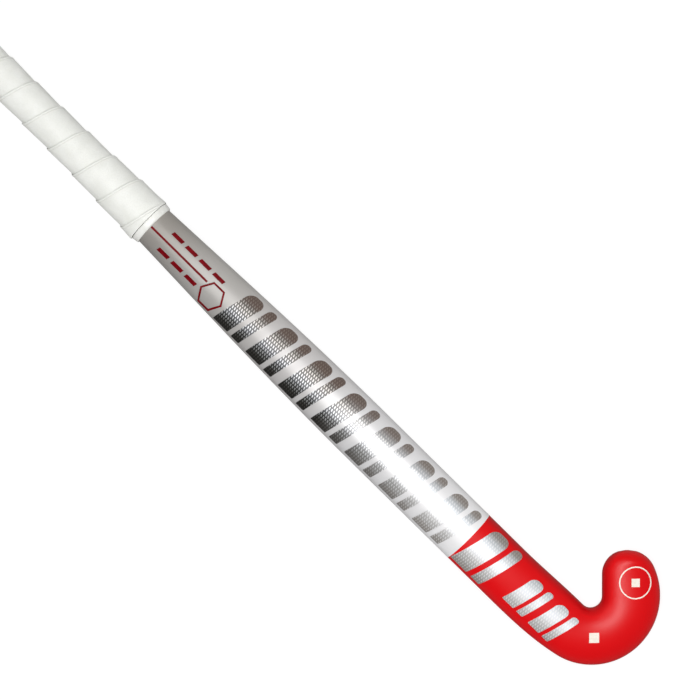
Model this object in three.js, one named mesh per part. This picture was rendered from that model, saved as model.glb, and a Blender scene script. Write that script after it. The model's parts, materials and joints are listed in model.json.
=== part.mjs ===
// Field hockey stick, composite, right-handed, lying on its flat playing face.
//
// Every piece is drawn in stick coordinates, in millimetres:
//   s  distance from the base of the head, measured up the shaft
//   y  across the stick, positive towards the toe
//   z  height above the flat playing face, positive towards the rounded back
// bowed() curves that straight stick, and layDown() rests it on the ground with
// +X towards the head, +Y towards the toe and +Z up, on the back's side.

import * as THREE from 'three';
import { ConvexHull } from 'three/addons/math/ConvexHull.js';

// ---- Driving dimensions -------------------------------------------------

const STICK_LENGTH = 927;        // head base to the top of the end cap
const WALL = 2.7;                // laminate
const FIT_GAP = 0.3;             // between two pieces that touch

// Shaft and handle
const SHAFT_HALF_WIDTH = 25;
const SHAFT_THICKNESS = 27;
const HANDLE_RADIUS = 14.2;
const ROUND_HANDLE_LENGTH = 211; // from the open butt end down to where the taper ends
const TAPER_LENGTH = 420;        // over which the shaft narrows to the round handle

// Head
const NECK_S = 130;              // where the head's outline leaves the shaft
const NECK_INNER_Y = 26.9;       // shaft edge where the crotch begins
const CROTCH_RADIUS = 9.5;
const HEAD_WIDTH = 49.7;         // crotch to the outside of the hook
const HEEL_WIDTH = 47.5;         // the same on the heel's flatter arc
const HOOK_TURN = THREE.MathUtils.degToRad(135);
const HEEL_ANGLE = THREE.MathUtils.degToRad(12);
const TOE_HEIGHT = 39;           // toe past the end of the hook's turn
const TOE_INNER_CORNER = 20.2;
const TOE_OUTER_CORNER = 24.3;
const HEAD_THICKNESS = 22;
const TOE_THICKNESS = 20;
const TOE_END_ROUND = 11;        // length over which the toe's back rolls off

// Section
const EDGE_HEIGHT = 7.5;         // height of the widest line on the head and shaft
const EDGE_ROUND = 6.5;          // width of the rounded edge beside the flat face
const HANDLE_EDGE_SHARE = 0.85;  // how much of the handle's half width is rounded

// Bow: straight head, a circular arc, straight upper shaft
const BOW = 24;
const BOW_START = 110;
const BOW_ARC = 230;

// Pieces inside the shell
const STIFFENER_THICKNESS = 1.2;
const STIFFENER_START = 70;
const STIFFENER_SETBACK = 10;    // from its upper end to the end of the taper
const FACE_STIFFENER_WIDTH = 18;
const FACE_STIFFENER_REACH = 190; // into the taper, where the flat face is still wide
const HEAD_CORE_END = 150;
const TUBE_WALL = 1.2;
const TUBE_CLEARANCE = 6;        // from the tubes to the head core and to the butt plug
const PLUG_LENGTH = 40;
const SPIGOT_LENGTH = 16;
const SPIGOT_RADIUS = 5.2;

// Handle covering
const GRIP_LENGTH = 373.7;
const GRIP_THICKNESS = 1.15;
const GRIP_SWELL = 0.55;         // extra turn of tape near the grip's lower end
const GRIP_FLARE = 0.7;          // lip at the grip's lower end
const GRIP_LIP = 13;             // length of that lip
const UNDERLAY_THICKNESS = 0.6;
const UNDERLAY_SETBACK = 6;      // the underlay starts above the grip's lip
const TAPE_WIDTH = 6;
const TAPE_LOW = 1.7;            // outside of the finishing tape at its two edges
const TAPE_HIGH = 2.5;
const CAP_HEIGHT = 6;
const CAP_OVERHANG = 2.2;        // cap rim outside the shell

// Films on the back: pairs of slanted foil bars, and printed marks
const FILM_THICKNESS = 0.25;
const FOIL_SLANT = Math.tan(THREE.MathUtils.degToRad(14));
const FOIL_WIDE = 0.43;          // bars and slot of a pair, as shares of the pitch
const FOIL_NARROW = 0.23;
const FOIL_SLOT = 0.115;
const HEAD_COLOUR_END = 170;     // the head's colour stops here
const FOIL_SETBACK = 95;         // from the finishing tape to the first foil bar
const FOIL_ROWS = [
  { start: 164, pitch: 43.3, pairs: 1, cover: 0.86 },
  { start: 111, pitch: 30.7, pairs: 2, cover: 0.62 },
];
const STRIPE_LENGTH = 66;
const STRIPE_WIDTH = 1.9;
const STRIPE_Y = -2;
const DASH_SETBACK = 17;         // from the finishing tape to the first dash
const DASH_LENGTH = 12;
const DASH_PITCH = 16;
const DASH_HEIGHT = 3.4;
const DASH_ROWS = [{ y: 7, count: 4 }, { y: -10.9, count: 3 }];
const EMBLEM_SETBACK = 77;
const EMBLEM_MARGIN = 1.65;      // from the shaft's heel-side edge
const EMBLEM_RADIUS = 12.5;
const EMBLEM_WIDTH = 2;
const TOE_RING = { s: 42.7, y: 71, radius: 14, width: 1.1 };
const TOE_DIAMOND = { s: 42.7, y: 71, reach: 5 };
const TIP_DIAMOND = { s: 35.1, y: 13.4, reach: 6 };

// ---- Values that follow from the driving dimensions -----------------------

const SHELL_LENGTH = STICK_LENGTH - CAP_HEIGHT;
const TAPER_END = SHELL_LENGTH - ROUND_HANDLE_LENGTH;
const TAPER_START = TAPER_END - TAPER_LENGTH;
const STIFFENER_END = TAPER_END - STIFFENER_SETBACK;
const FACE_STIFFENER_END = TAPER_START + FACE_STIFFENER_REACH;
const HOOK_Y = NECK_INNER_Y + CROTCH_RADIUS;
const HEAD_RADIUS = CROTCH_RADIUS + HEAD_WIDTH;
const HEEL_RADIUS = CROTCH_RADIUS + HEEL_WIDTH;
const LINER_INSET = WALL + FIT_GAP;
const CORE_INSET = LINER_INSET + STIFFENER_THICKNESS + 2 * FIT_GAP;
const PLUG_START = SHELL_LENGTH - FIT_GAP - PLUG_LENGTH;
const GRIP_INSIDE = 2 * FIT_GAP + UNDERLAY_THICKNESS;
const GRIP_START = SHELL_LENGTH - GRIP_LENGTH;
const TAPE_END = GRIP_START - FIT_GAP;
const TAPE_START = TAPE_END - TAPE_WIDTH;

const { smoothstep, lerp } = THREE.MathUtils;

// ---- Materials --------------------------------------------------------------

const MATERIALS = {
  lacquer: { color: 0xc9c7c4, roughness: 0.32, metalness: 0.25 },
  foil: { color: 0xb9bcc2, roughness: 0.25, metalness: 0.9 },
  redInk: { color: 0xa0101e, roughness: 0.4, metalness: 0 },
  creamInk: { color: 0xf2ece2, roughness: 0.4, metalness: 0 },
  gripTape: { color: 0xf4f5ef, roughness: 0.75, metalness: 0 },
  underlay: { color: 0xd8d8d2, roughness: 0.9, metalness: 0 },
  finishTape: { color: 0xf0f0ea, roughness: 0.5, metalness: 0 },
  rubber: { color: 0xe9e9e4, roughness: 0.6, metalness: 0 },
  foam: { color: 0xd9c9a0, roughness: 0.95, metalness: 0 },
  carbon: { color: 0x2b2c2e, roughness: 0.45, metalness: 0.1 },
  aramid: { color: 0xc8a640, roughness: 0.6, metalness: 0 },
};

// ---- Shape of the stick -------------------------------------------------------

const handleShare = (s) => smoothstep(s, TAPER_START, TAPER_END);

const shaftHalfWidth = (s) => lerp(SHAFT_HALF_WIDTH, HANDLE_RADIUS, handleShare(s));

// Direction from the hook's centre at a turn of 0 (heel side) to HOOK_TURN (toe).
const radial = (turn) => new THREE.Vector2(-Math.sin(turn), -Math.cos(turn));
const onArc = (centreS, radius, turn) =>
  radial(turn).multiplyScalar(radius).add(new THREE.Vector2(centreS, HOOK_Y));

// A station q runs along the stick: 0 to 1 toe, 1 to 2 hook, 2 to 3 neck, 3 to 4 shaft.
const stationAt = (s) => 3 + (s - NECK_S) / (SHELL_LENGTH - NECK_S);

function toeRib(q, inset) {
  const across = radial(HOOK_TURN);
  const along = new THREE.Vector2(-across.y, across.x).negate();
  const d = (TOE_HEIGHT - inset) * Math.sin((1 - q) * Math.PI / 2);
  const outerD = TOE_HEIGHT - TOE_OUTER_CORNER;
  const outerE = Math.sqrt((HEAD_RADIUS - TOE_OUTER_CORNER) ** 2 - outerD ** 2);
  const tangentD = outerD * (HEAD_RADIUS - inset) / (HEAD_RADIUS - TOE_OUTER_CORNER);
  const outer = d < tangentD
    ? Math.sqrt((HEAD_RADIUS - inset) ** 2 - d ** 2)
    : outerE + Math.sqrt(Math.max(0, (TOE_OUTER_CORNER - inset) ** 2 - (d - outerD) ** 2));
  const innerD = TOE_HEIGHT - TOE_INNER_CORNER;
  const innerE = CROTCH_RADIUS + TOE_INNER_CORNER;
  const cornerD = Math.max(0, d - innerD);
  const inner = innerE - Math.sqrt(Math.max(0, (TOE_INNER_CORNER - inset) ** 2 - cornerD ** 2));
  const place = (e) => new THREE.Vector2(HEAD_RADIUS, HOOK_Y)
    .addScaledVector(across, e)
    .addScaledVector(along, d);
  return { inner: place(Math.min(inner, innerE)), outer: place(outer), d };
}

function hookRib(q, inset) {
  const share = 2 - q;
  const outerTurn = lerp(HEEL_ANGLE, HOOK_TURN, share);
  const outerRadius = outerTurn < Math.PI / 2 ? HEEL_RADIUS : HEAD_RADIUS;
  return {
    inner: onArc(HEAD_RADIUS, CROTCH_RADIUS + inset, HOOK_TURN * share),
    outer: onArc(outerRadius, outerRadius - inset, outerTurn),
  };
}

function neckRib(q, inset) {
  const start = hookRib(2, inset);
  const edge = shaftHalfWidth(NECK_S) - inset;
  const blend = (from, slope, toY) => {
    const reach = (NECK_S - from.x) / 3;
    return new THREE.CubicBezierCurve(
      from,
      new THREE.Vector2(from.x + reach, from.y + slope * reach),
      new THREE.Vector2(NECK_S - reach, toY),
      new THREE.Vector2(NECK_S, toY),
    );
  };
  return {
    inner: blend(start.inner, 0, edge).getPoint(q - 2),
    outer: blend(start.outer, -Math.tan(HEEL_ANGLE), -edge).getPoint(q - 2),
  };
}

function shaftRib(q, inset) {
  const s = lerp(NECK_S, SHELL_LENGTH, q - 3);
  const edge = shaftHalfWidth(s) - inset;
  return { inner: new THREE.Vector2(s, edge), outer: new THREE.Vector2(s, -edge) };
}

// The line across the stick at a station, drawn inset from the outer skin.
function rib(q, inset) {
  if (q < 1) return toeRib(q, inset);
  if (q < 2) return hookRib(q, inset);
  if (q < 3) return neckRib(q, inset);
  return shaftRib(q, inset);
}

// Heights of the section at a station: flat face, widest line and crest of the back.
function profile(q, inset, line, half) {
  const s = (line.inner.x + line.outer.x) / 2;
  const handle = q < 2 ? 0 : handleShare(s);
  const headThickness = lerp(TOE_THICKNESS, HEAD_THICKNESS, Math.min(1, q / 2));
  const grown = q < 2 ? 0 : smoothstep(s, HEAD_RADIUS, TAPER_START);
  const thickness = lerp(lerp(headThickness, SHAFT_THICKNESS, grown), 2 * HANDLE_RADIUS, handle);
  const widest = lerp(EDGE_HEIGHT, thickness / 2, handle);
  const rollOff = (length) => {
    const past = Math.max(0, (line.d ?? 0) - (TOE_HEIGHT - length)) / (length - inset);
    return Math.sqrt(Math.max(0, 1 - Math.min(1, past) ** 2));
  };
  const edge = lerp(EDGE_ROUND, HANDLE_RADIUS * HANDLE_EDGE_SHARE, handle) - inset;
  return {
    widest,
    crest: widest + (thickness - widest - inset) * rollOff(TOE_END_ROUND),
    face: widest - (widest - inset) * rollOff(EDGE_ROUND),
    edge: Math.min(Math.max(edge, 1), 0.9 * half),
  };
}

// A point of the skin. The angle runs round the section: 0 is the toe-side edge,
// 90 degrees the crest of the back, 180 the heel-side edge, and -90 and 270 the two
// edges of the flat face.
function skinPoint(q, angle, inset) {
  const line = rib(q, inset);
  const half = line.inner.distanceTo(line.outer) / 2;
  const { widest, crest, face, edge } = profile(q, inset, line, half);
  const side = Math.cos(angle);
  const onBack = Math.sin(angle) >= 0;
  const flat = onBack ? 0 : Math.sign(side) * (half - edge);
  const v = onBack ? half * side : flat + edge * side;
  const z = widest + (onBack ? crest - widest : widest - face) * Math.sin(angle);
  const across = line.inner.clone().sub(line.outer).divideScalar(2 * half);
  const middle = line.inner.clone().add(line.outer).divideScalar(2);
  const place = middle.addScaledVector(across, v);
  return bowed(place.x, place.y, z);
}

// Bends the straight stick. The flat face is concave along its length.
function bowed(s, y, z) {
  const toCorner = BOW_START + BOW_ARC / 2;
  const depthPerTurn = toCorner * (STICK_LENGTH - toCorner) / STICK_LENGTH - BOW_ARC / 8;
  const bend = BOW / depthPerTurn;
  const arcRadius = BOW_ARC / bend;
  const onArcLength = THREE.MathUtils.clamp(s - BOW_START, 0, BOW_ARC);
  const turn = onArcLength / arcRadius;
  const before = Math.min(s, BOW_START);
  const after = Math.max(0, s - BOW_START - BOW_ARC);
  const alongX = before + arcRadius * Math.sin(turn) + after * Math.cos(turn);
  const down = arcRadius * (1 - Math.cos(turn)) + after * Math.sin(turn);
  return new THREE.Vector3(
    -(alongX + z * Math.sin(turn)),
    y,
    z * Math.cos(turn) - down,
  );
}

// Finds the station and the share across its rib for a point (s, y) of the outline.
function locate(s, y) {
  const point = new THREE.Vector2(s, y);
  const offRib = (q) => {
    const line = rib(q, 0);
    return line.inner.clone().sub(line.outer).cross(point.clone().sub(line.outer));
  };
  const steps = 80;
  for (let i = 0; i < steps; i += 1) {
    let low = 4 * i / steps;
    let high = 4 * (i + 1) / steps;
    if (offRib(low) * offRib(high) > 0) continue;
    for (let pass = 0; pass < 30; pass += 1) {
      const middle = (low + high) / 2;
      if (offRib(low) * offRib(middle) <= 0) high = middle;
      else low = middle;
    }
    const line = rib(low, 0);
    const half = line.inner.distanceTo(line.outer) / 2;
    const centre = line.inner.clone().add(line.outer).divideScalar(2);
    const across = line.inner.clone().sub(line.outer).divideScalar(2 * half);
    const share = point.clone().sub(centre).dot(across) / half;
    if (Math.abs(share) <= 1) return { q: low, angle: Math.acos(share) };
  }
  throw new Error(`no rib passes through ${s}, ${y}`);
}

function backPoint(s, y, lift) {
  const { q, angle } = locate(s, y);
  return skinPoint(q, angle, -lift);
}

// ---- Stations along the stick ---------------------------------------------------

const steps = (from, to, count) =>
  Array.from({ length: count + 1 }, (_, i) => lerp(from, to, i / count));

const TOE_STATIONS = [1, 5, 10, 16, 24, 33, 44, 57, 72].map((degrees) => degrees / 90);
const HOOK_STATIONS = steps(1, 2, 14);
const NECK_STATIONS = steps(2, 3, 5).slice(1);
const SHAFT_STATIONS = steps(3, 4, 28).slice(1);
const HEAD_STATIONS = [...TOE_STATIONS, ...HOOK_STATIONS, ...NECK_STATIONS];

// The shaft stations between two places, with those places as the ends.
function shaftSpan(fromS, toS, every = 1) {
  const from = stationAt(fromS);
  const to = stationAt(toS);
  const between = SHAFT_STATIONS.filter((q, i) => i % every === 0 && q > from && q < to);
  return [from, ...between, to];
}

// ---- Solids ------------------------------------------------------------------------

function signedVolume(positions, index) {
  const corner = (i) => new THREE.Vector3().fromArray(positions, 3 * index[i]);
  let total = 0;
  for (let i = 0; i < index.length; i += 3) {
    total += corner(i).dot(corner(i + 1).cross(corner(i + 2))) / 6;
  }
  return total;
}

function volumeCentre(geometry) {
  const position = geometry.getAttribute('position');
  const index = geometry.getIndex().array;
  const centre = new THREE.Vector3();
  let total = 0;
  for (let i = 0; i < index.length; i += 3) {
    const [a, b, c] = [0, 1, 2].map((k) =>
      new THREE.Vector3().fromBufferAttribute(position, index[i + k]));
    const volume = a.dot(b.clone().cross(c)) / 6;
    total += volume;
    centre.addScaledVector(a.add(b).add(c), volume / 4);
  }
  return centre.divideScalar(total);
}

function solid(points, triangles) {
  const positions = points.flatMap((point) => point.toArray());
  const index = triangles.flat();
  if (signedVolume(positions, index) < 0) index.reverse();
  const geometry = new THREE.BufferGeometry();
  geometry.setAttribute('position', new THREE.Float32BufferAttribute(positions, 3));
  geometry.setIndex(index);
  geometry.computeVertexNormals();
  return geometry;
}

// Joins rings of equal length into a body. An open row of rings is closed by a flat
// face at each end; a looped row joins its last ring to its first.
function loft(rings, looped = false) {
  const size = rings[0].length;
  const triangles = [];
  const rows = looped ? rings.length : rings.length - 1;
  for (let i = 0; i < rows; i += 1) {
    const here = i * size;
    const next = ((i + 1) % rings.length) * size;
    for (let j = 0; j < size; j += 1) {
      const k = (j + 1) % size;
      triangles.push([here + j, here + k, next + k], [here + j, next + k, next + j]);
    }
  }
  if (!looped) {
    const last = (rings.length - 1) * size;
    for (let j = 1; j < size - 1; j += 1) {
      triangles.push([0, j + 1, j], [last, last + j, last + j + 1]);
    }
  }
  return solid(rings.flat(), triangles);
}

// A thin sheet between two grids of points, under and over. A wrapped sheet closes on
// itself along its rows.
function sheet(under, over, wrapped = false) {
  const rows = under.length;
  const columns = under[0].length;
  const offset = rows * columns;
  const at = (i, j) => (i % rows) * columns + j;
  const triangles = [];
  const quad = (a, b, c, d) => triangles.push([a, b, c], [a, c, d]);
  const lastRow = wrapped ? rows : rows - 1;
  for (let i = 0; i < lastRow; i += 1) {
    for (let j = 0; j < columns - 1; j += 1) {
      const corners = [at(i, j), at(i + 1, j), at(i + 1, j + 1), at(i, j + 1)];
      quad(...corners);
      quad(...corners.map((corner) => corner + offset).reverse());
    }
    const right = columns - 1;
    quad(at(i + 1, 0), at(i, 0), at(i, 0) + offset, at(i + 1, 0) + offset);
    quad(at(i, right), at(i + 1, right), at(i + 1, right) + offset, at(i, right) + offset);
  }
  if (!wrapped) {
    const bottom = rows - 1;
    for (let j = 0; j < columns - 1; j += 1) {
      quad(at(0, j), at(0, j + 1), at(0, j + 1) + offset, at(0, j) + offset);
      quad(at(bottom, j + 1), at(bottom, j), at(bottom, j) + offset, at(bottom, j + 1) + offset);
    }
  }
  return solid([...under.flat(), ...over.flat()], triangles);
}

const radians = (degrees) => THREE.MathUtils.degToRad(degrees);
const RING_ANGLES = [-90, -60, -30, ...steps(0, 180, 12), 210, 240, 270].map(radians);

const ring = (q, inset) => RING_ANGLES.map((angle) => skinPoint(q, angle, inset));
const handleRing = (s, inset) => ring(stationAt(s), inset);

// ---- Structure -----------------------------------------------------------------------

function laminateShell() {
  const stations = [...HEAD_STATIONS, ...SHAFT_STATIONS];
  const outside = stations.map((q) => ring(q, 0));
  const inside = stations.map((q) => ring(q, WALL)).reverse();
  return loft([...outside, ...inside]);
}

function headCore() {
  const stations = [...HEAD_STATIONS, ...shaftSpan(NECK_S, HEAD_CORE_END).slice(1)];
  return loft(stations.map((q) => ring(q, CORE_INSET)));
}

// A strip bonded to the inside of the shell, between two angles of its section.
function liner(stations, fromAngle, toAngle, columns) {
  const angles = steps(radians(fromAngle), radians(toAngle), columns);
  const face = (inset) => stations.map((q) => angles.map((angle) => skinPoint(q, angle, inset)));
  return sheet(face(LINER_INSET), face(LINER_INSET + STIFFENER_THICKNESS));
}

function hookReinforcement() {
  const stations = [...TOE_STATIONS.slice(6), ...HOOK_STATIONS, ...NECK_STATIONS.slice(0, 4)];
  return liner(stations, -28, 26, 2);
}

const stiffenerStations = () =>
  [...NECK_STATIONS, ...shaftSpan(NECK_S, STIFFENER_END).slice(1)];

const backStiffener = () => liner(stiffenerStations(), 68, 112, 3);

function faceStiffener() {
  const places = [STIFFENER_START, ...steps(BOW_START, FACE_STIFFENER_END, 20)];
  const half = FACE_STIFFENER_WIDTH / 2;
  const layer = (z) => places.map((s) => [bowed(s, -half, z), bowed(s, half, z)]);
  return sheet(layer(LINER_INSET), layer(LINER_INSET + STIFFENER_THICKNESS));
}

// One of the two hollow cores side by side in the shaft, a half section each.
function coreTube(side) {
  const middle = FIT_GAP;
  const halfRing = (q, inset, wall) => {
    const angles = steps(-90, 90, 8).map(radians);
    return angles.map((angle) => {
      const point = skinPoint(q, side > 0 ? angle : Math.PI - angle, inset);
      const onAxis = Math.abs(angle) > radians(89);
      if (onAxis || side * point.y < middle + wall) point.y = side * (middle + wall);
      return point;
    });
  };
  const stations = shaftSpan(HEAD_CORE_END + TUBE_CLEARANCE, PLUG_START - TUBE_CLEARANCE, 2);
  const outside = stations.map((q) => halfRing(q, CORE_INSET, 0));
  const inside = stations.map((q) => halfRing(q, CORE_INSET + TUBE_WALL, TUBE_WALL)).reverse();
  return loft([...outside, ...inside], true);
}

// ---- Handle -------------------------------------------------------------------------

function buttPlug() {
  const top = SHELL_LENGTH - FIT_GAP;
  const hole = HANDLE_RADIUS - SPIGOT_RADIUS - FIT_GAP;
  return loft([
    handleRing(PLUG_START, LINER_INSET),
    handleRing(top, LINER_INSET),
    handleRing(top, hole),
    handleRing(top - SPIGOT_LENGTH - FIT_GAP, hole),
  ]);
}

function endCap() {
  const under = SHELL_LENGTH + FIT_GAP;
  const spigot = HANDLE_RADIUS - SPIGOT_RADIUS;
  const rimTop = STICK_LENGTH - 2.4;
  return loft([
    handleRing(under - SPIGOT_LENGTH, spigot),
    handleRing(under, spigot),
    handleRing(under, -CAP_OVERHANG),
    handleRing(rimTop, -CAP_OVERHANG),
    handleRing(lerp(rimTop, STICK_LENGTH, 0.6), -CAP_OVERHANG + 0.7),
    handleRing(lerp(rimTop, STICK_LENGTH, 0.92), -CAP_OVERHANG + 1.8),
    handleRing(STICK_LENGTH, -CAP_OVERHANG + 3.2),
  ]);
}

// A sleeve round the handle between two distances outside the shell.
function sleeve(stations, under, over) {
  const outside = stations.map((q) => ring(q, -over(q)));
  const inside = stations.map((q) => ring(q, -under)).reverse();
  return loft([...outside, ...inside], true);
}

function gripOutside(q) {
  const s = lerp(NECK_S, SHELL_LENGTH, q - 3);
  const swell = GRIP_SWELL * (1 - smoothstep(s - GRIP_START, 28, 78));
  const flare = GRIP_FLARE * (1 - smoothstep(s - GRIP_START, 0, GRIP_LIP));
  return GRIP_INSIDE + GRIP_THICKNESS + swell + flare;
}

function gripTape() {
  const lip = [GRIP_START, GRIP_START + GRIP_LIP / 2].map(stationAt);
  const stations = [...lip, ...shaftSpan(GRIP_START + GRIP_LIP, SHELL_LENGTH)];
  return sleeve(stations, GRIP_INSIDE, gripOutside);
}

function gripUnderlay() {
  const stations = shaftSpan(GRIP_START + UNDERLAY_SETBACK, SHELL_LENGTH - 2, 2);
  return sleeve(stations, FIT_GAP, () => FIT_GAP + UNDERLAY_THICKNESS);
}

function finishingTape() {
  const [lower, upper] = [TAPE_START, TAPE_END].map(stationAt);
  const outside = (q) => lerp(TAPE_LOW, TAPE_HIGH, (q - lower) / (upper - lower));
  return sleeve(steps(lower, upper, 2), FIT_GAP, outside);
}

// ---- Films on the rounded back ----------------------------------------------------------

function film(grid, wrapped = false) {
  const layer = (lift) => grid.map((row) => row.map(([s, y]) => backPoint(s, y, lift)));
  return sheet(layer(FIT_GAP), layer(FIT_GAP + FILM_THICKNESS), wrapped);
}

// A slanted bar right across the back, with clipped corners.
function foilBar(centre, width, margin) {
  const half = margin * shaftHalfWidth(centre);
  const shares = [-1, -0.93, -0.78, -0.6, -0.4, -0.2, 0, 0.2, 0.4, 0.6, 0.78, 0.93, 1];
  return film(shares.map((share) => {
    const y = share * half;
    const clipped = Math.abs(share) === 1 ? 0.72 : 1;
    const reach = clipped * width / 2;
    const s = centre - FOIL_SLANT * y;
    return [[s - reach, y], [s + reach, y]];
  }));
}

function stripe(from, to, y, width, count) {
  return film(steps(from, to, count).map((s) => [[s, y - width / 2], [s, y + width / 2]]));
}

// An outline with equal sides round a centre, each side in a few steps.
function outline({ s, y, radius, width }, corners, perSide) {
  const points = corners * perSide;
  const half = Math.PI / corners;
  return film(steps(0, 2 * Math.PI, points).slice(0, points).map((angle) => {
    const onSide = Math.cos(half) / Math.cos((angle % (2 * half)) - half);
    return [radius - width, radius].map((r) => [
      s + r * onSide * Math.cos(angle),
      y + r * onSide * Math.sin(angle),
    ]);
  }), true);
}

function diamond({ s, y, reach }) {
  const shares = [-1, 0, 1];
  return film(shares.map((a) => shares.map((b) => [
    s + reach * (a + b) / 2,
    y + reach * (a - b) / 2,
  ])));
}

// ---- Assembly ---------------------------------------------------------------------------

const stick = new THREE.Group();

function add(name, geometry, look) {
  const mesh = new THREE.Mesh(geometry, new THREE.MeshStandardMaterial(MATERIALS[look]));
  mesh.name = name;
  stick.add(mesh);
}

function addFoilBars() {
  const start = TAPE_START - FOIL_SETBACK;
  const pairs = 7;
  const upperRow = { start, pairs, pitch: (start - HEAD_COLOUR_END) / pairs, cover: 0.86 };
  let number = 1;
  for (const { start: rowStart, pitch, pairs: count, cover } of [upperRow, ...FOIL_ROWS]) {
    for (let i = 0; i < count; i += 1) {
      const edge = rowStart - i * pitch;
      const wide = edge - pitch * FOIL_WIDE / 2;
      const narrow = edge - pitch * (FOIL_WIDE + FOIL_SLOT + FOIL_NARROW / 2);
      add(`foil_bar_wide_${number}`, foilBar(wide, pitch * FOIL_WIDE, cover), 'foil');
      add(`foil_bar_narrow_${number}`, foilBar(narrow, pitch * FOIL_NARROW, cover), 'foil');
      number += 1;
    }
  }
}

function addDashes() {
  DASH_ROWS.forEach(({ y, count }, row) => {
    for (let i = 0; i < count; i += 1) {
      const from = TAPE_START - DASH_SETBACK - i * DASH_PITCH;
      const dash = stripe(from, from - DASH_LENGTH, y, DASH_HEIGHT, 1);
      add(`dash_row_${row + 1}_${i + 1}`, dash, 'redInk');
    }
  });
}

function addRedStripe() {
  const from = TAPE_START - FIT_GAP;
  add('red_stripe', stripe(from, from - STRIPE_LENGTH, STRIPE_Y, STRIPE_WIDTH, 6), 'redInk');
}

function addHexagon() {
  const s = TAPE_START - EMBLEM_SETBACK;
  const halfHeight = EMBLEM_RADIUS * Math.cos(Math.PI / 6);
  const y = halfHeight + EMBLEM_MARGIN - shaftHalfWidth(s);
  const place = { s, y, radius: EMBLEM_RADIUS, width: EMBLEM_WIDTH };
  add('hexagon_mark', outline(place, 6, 4), 'redInk');
}

// Rests the stick on the ground: turns the facet of its hull that lies under the centre
// of the shell's volume to face down.
function layDown(group) {
  const points = group.children.flatMap(({ geometry }) => {
    const position = geometry.getAttribute('position');
    return steps(0, position.count - 1, position.count - 1)
      .map((i) => new THREE.Vector3().fromBufferAttribute(position, i));
  });
  const centre = volumeCentre(group.children[0].geometry);
  const hull = new ConvexHull().setFromPoints(points);
  const falls = (face) => {
    const corners = [face.getEdge(0), face.getEdge(1), face.getEdge(2)].map((e) => e.head().point);
    const down = face.normal;
    return corners.every((corner, i) => {
      const side = corners[(i + 1) % 3].clone().sub(corner);
      return side.cross(centre.clone().sub(corner)).dot(down) >= 0;
    });
  };
  const resting = hull.faces
    .filter((face) => face.normal.z < -0.8 && falls(face))
    .sort((a, b) => a.distanceToPoint(centre) - b.distanceToPoint(centre))
    .pop();
  group.quaternion.setFromUnitVectors(resting.normal, new THREE.Vector3(0, 0, -1));
  const box = new THREE.Box3().setFromObject(group, true);
  const middle = box.getCenter(new THREE.Vector3());
  group.position.set(-middle.x, -middle.y, -box.min.z);
}

add('laminate_shell', laminateShell(), 'lacquer');
add('head_core', headCore(), 'foam');
add('hook_reinforcement', hookReinforcement(), 'aramid');
add('face_stiffener', faceStiffener(), 'carbon');
add('back_stiffener', backStiffener(), 'carbon');
add('core_tube_toe_side', coreTube(1), 'carbon');
add('core_tube_heel_side', coreTube(-1), 'carbon');
add('butt_plug', buttPlug(), 'foam');
add('end_cap', endCap(), 'rubber');
add('grip_underlay', gripUnderlay(), 'underlay');
add('grip_tape', gripTape(), 'gripTape');
add('finishing_tape', finishingTape(), 'finishTape');

addFoilBars();
addRedStripe();
addHexagon();
addDashes();
add('toe_ring', outline(TOE_RING, 24, 1), 'creamInk');
add('toe_diamond', diamond(TOE_DIAMOND), 'creamInk');
add('tip_diamond', diamond(TIP_DIAMOND), 'creamInk');

layDown(stick);

export default stick;
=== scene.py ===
import json
import math

import bpy
import numpy as np
from mathutils import Matrix, Vector

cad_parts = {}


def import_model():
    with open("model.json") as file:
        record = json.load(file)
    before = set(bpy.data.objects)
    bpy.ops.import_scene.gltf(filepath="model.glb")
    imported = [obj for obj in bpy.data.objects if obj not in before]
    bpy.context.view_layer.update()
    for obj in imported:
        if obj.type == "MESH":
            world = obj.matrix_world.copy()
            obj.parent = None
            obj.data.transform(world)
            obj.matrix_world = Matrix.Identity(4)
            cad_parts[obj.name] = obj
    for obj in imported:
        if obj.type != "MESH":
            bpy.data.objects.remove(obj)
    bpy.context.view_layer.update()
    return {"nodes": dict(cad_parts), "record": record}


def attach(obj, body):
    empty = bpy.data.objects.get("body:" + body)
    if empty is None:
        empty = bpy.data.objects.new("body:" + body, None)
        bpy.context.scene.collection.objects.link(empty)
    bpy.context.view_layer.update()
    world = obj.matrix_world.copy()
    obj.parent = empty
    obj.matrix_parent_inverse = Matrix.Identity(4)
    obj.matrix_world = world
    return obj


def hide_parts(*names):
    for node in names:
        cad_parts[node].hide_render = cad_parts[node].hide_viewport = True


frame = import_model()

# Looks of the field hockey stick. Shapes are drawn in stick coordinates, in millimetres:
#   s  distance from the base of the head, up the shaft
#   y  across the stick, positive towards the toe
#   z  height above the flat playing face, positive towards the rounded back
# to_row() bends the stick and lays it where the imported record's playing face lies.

MM = 0.001

# ---- Dimensions of the stick, in millimetres ---------------------------------

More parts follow.
